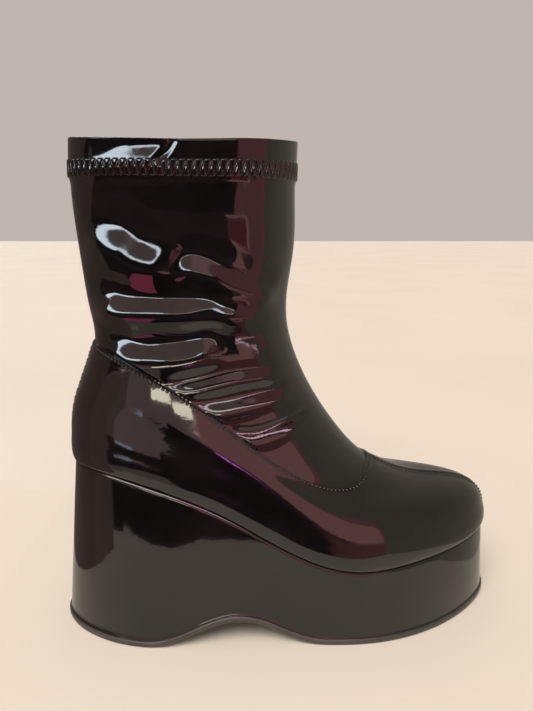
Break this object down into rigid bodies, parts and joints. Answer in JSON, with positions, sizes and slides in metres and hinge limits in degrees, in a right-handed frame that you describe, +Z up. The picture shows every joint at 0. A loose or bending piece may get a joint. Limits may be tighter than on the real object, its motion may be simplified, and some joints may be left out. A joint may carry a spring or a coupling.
{
  "type": "wedge ankle boot",
  "caption": "Right-foot ankle boot with a snug glossy stretch shaft, lapped lower quarters, a hollow foot and a tall covered wedge platform on a thin rubber outsole.",
  "frame": {"origin": "on the floor, under the middle of the boot's box", "axes": "+Z up, +X from heel to toe along the straight outer edge of the sole, +Y to the inner side of the foot"},
  "size_m": [0.254, 0.095, 0.2636],
  "materials": {
    "rubber": "matt black rubber",
    "patent": "high-gloss black patent",
    "stretch_patent": "high-gloss black stretch patent",
    "sock_lining": "dark woven lining"
  },
  "bodies": {
    "root": {"outsole": "rubber", "wedge": "patent", "insole": "sock_lining", "upper": "stretch_patent", "quarter_outer": "patent", "quarter_inner": "patent"}
  },
  "joints": []
}
